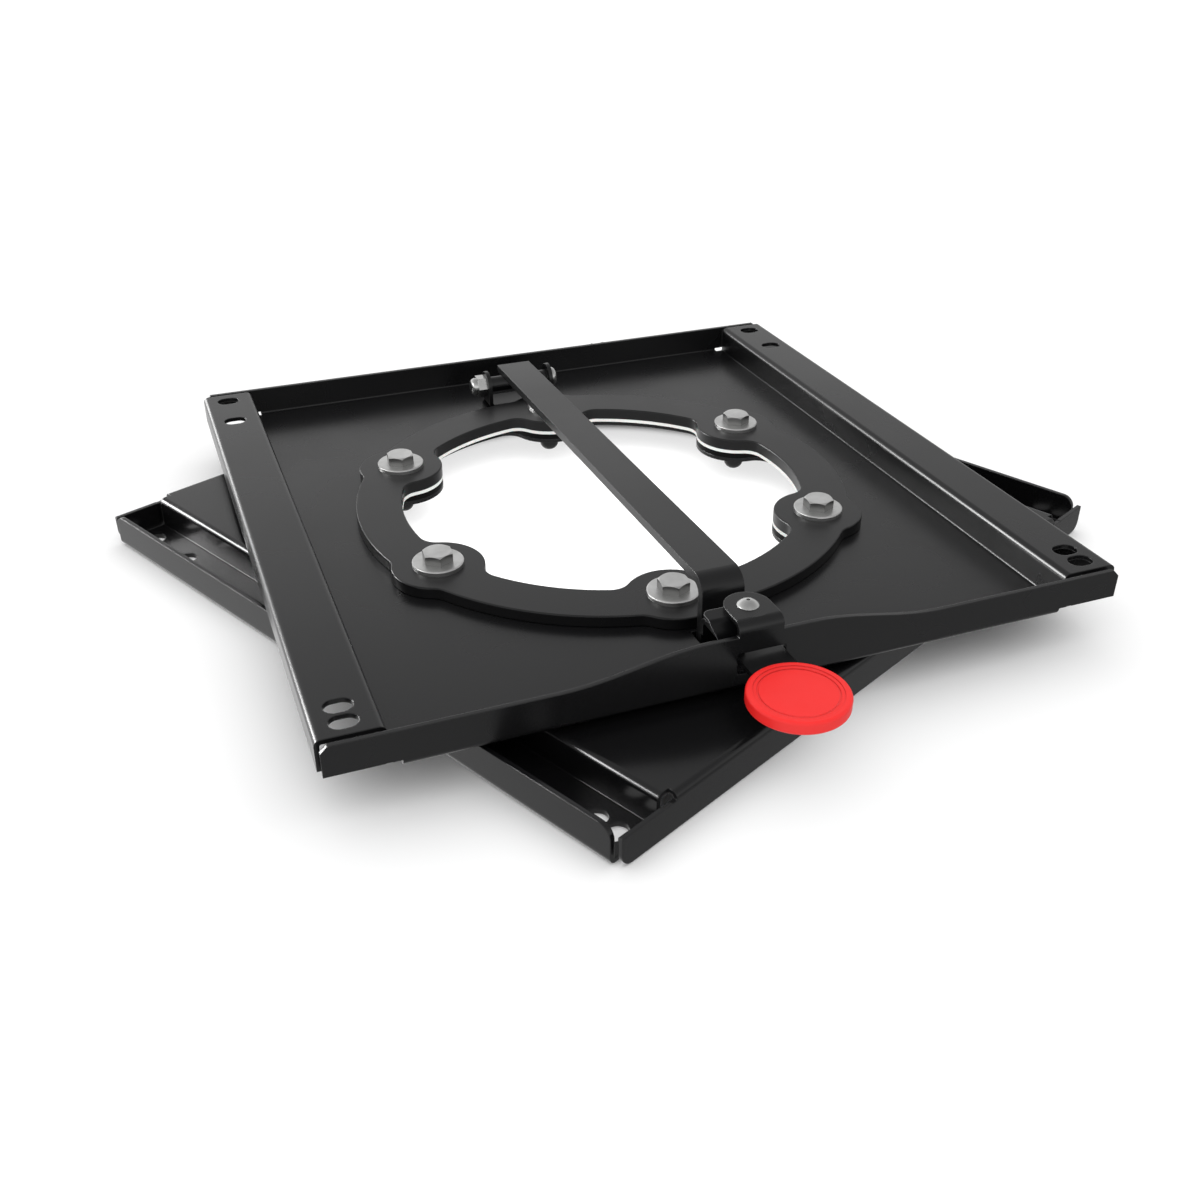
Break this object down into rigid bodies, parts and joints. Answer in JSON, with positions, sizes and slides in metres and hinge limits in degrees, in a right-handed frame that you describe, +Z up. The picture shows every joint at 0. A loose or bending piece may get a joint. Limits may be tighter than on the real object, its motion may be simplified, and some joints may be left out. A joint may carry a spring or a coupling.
{
  "type": "swivel seat base",
  "caption": "Flat swivel seat base: folded steel plates that turn on a bolted ring, with a sprung lock lever and a round red knob.",
  "frame": {"origin": "on the swivel axis at the underside of the base rails", "axes": "+Z up along the swivel axis, upper plate square to the axes with its knob towards -Y, +X to the right seen from the knob; the base is turned 25.3 degrees about +Z, as in the picture"},
  "size_m": [0.5504, 0.5506, 0.0619],
  "materials": {
    "base_coat": "satin black powder coat on folded sheet",
    "upper_coat": "satin black powder coat on folded sheet",
    "ring_coat": "satin black powder coat on cut plate",
    "bracket_coat": "satin black powder coat",
    "lever_coat": "satin black powder coat on flat bar",
    "strip_coat": "satin black powder coat on flat strip",
    "spring_coat": "blackened spring steel",
    "slide_plastic": "black sliding plastic",
    "white_plastic": "white sliding plastic",
    "zinc_bolts": "bright zinc plate",
    "zinc_washers": "bright zinc plate",
    "black_nuts": "black plated cap nuts",
    "pivot_zinc": "bright zinc plate",
    "rivet_metal": "bright pulled rivet",
    "knob_plastic": "moulded red plastic"
  },
  "bodies": {
    "base": {"base_plate": "base_coat", "slide_ring": "slide_plastic", "spacer_ring": "white_plastic", "retaining_ring": "ring_coat", "ring_bolts": "zinc_bolts", "ring_washers": "zinc_washers", "ring_nuts": "black_nuts"},
    "top": {"upper_plate": "upper_coat", "pivot_bracket": "bracket_coat", "pivot_bolt": "pivot_zinc", "pivot_nut": "pivot_zinc", "leaf_spring": "spring_coat", "tab_rivet": "rivet_metal"},
    "lever": {"lever_bar": "lever_coat", "pivot_tube": "lever_coat", "handle_strip": "strip_coat", "knob": "knob_plastic"}
  },
  "joints": [
    {"name": "swivel", "type": "hinge", "parent": "base", "child": "top", "pos_m": [0, 0, 0.0234], "axis": [0, 0, 1], "continuous": true},
    {"name": "lever_lift", "type": "hinge", "parent": "top", "child": "lever", "pos_m": [0, 0.163, 0.0398], "axis": [-1, 0, 0], "range_deg": [0, 0.35], "stiffness_Nm_per_rad": 100, "springref_deg": -1.15, "deforming": ["leaf_spring"]}
  ]
}
